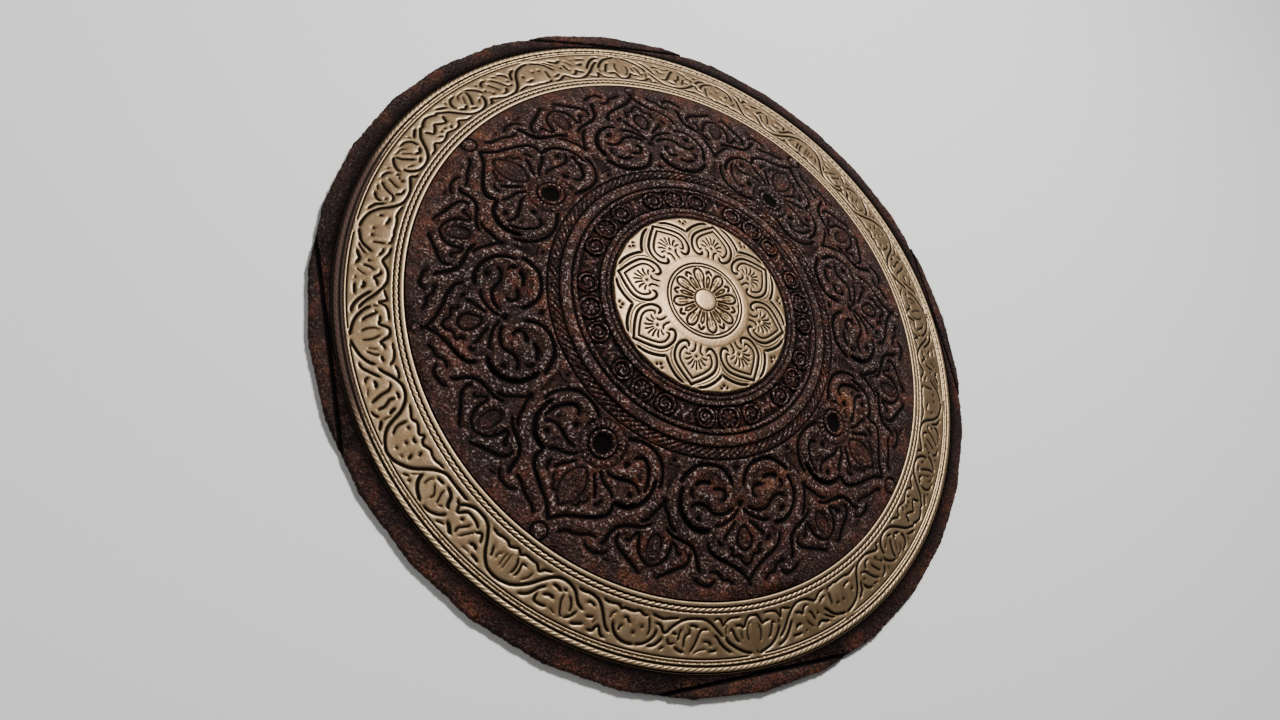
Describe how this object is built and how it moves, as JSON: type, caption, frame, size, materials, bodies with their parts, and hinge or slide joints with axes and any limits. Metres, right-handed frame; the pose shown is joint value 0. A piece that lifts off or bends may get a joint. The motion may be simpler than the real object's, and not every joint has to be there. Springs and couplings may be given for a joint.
{
  "type": "buckler shield",
  "caption": "Round domed hand shield of rusted iron, carved with scrolls and rosettes, with a brass vine ring and a brass lotus plate at its centre and a strap grip inside.",
  "frame": {"origin": "centre of the flat underside of the rim, on which the shield lies face up", "axes": "+Z out of the carved face along the shield's axis, +X through the middle of a rosette and along the grip"},
  "size_m": [0.4, 0.4, 0.0412],
  "materials": {
    "rusted_iron": "dark brown rusted iron, rough and grainy, black in the hollows",
    "aged_brass": "pale worn brass, dark in the grooves",
    "forged_iron": "plain forged iron, lightly rusted"
  },
  "bodies": {
    "root": {"shield_body": "rusted_iron", "brass_ring": "aged_brass", "centre_plate": "aged_brass", "grip": "forged_iron", "grip_rivet_1": "forged_iron", "grip_rivet_2": "forged_iron"}
  },
  "joints": []
}
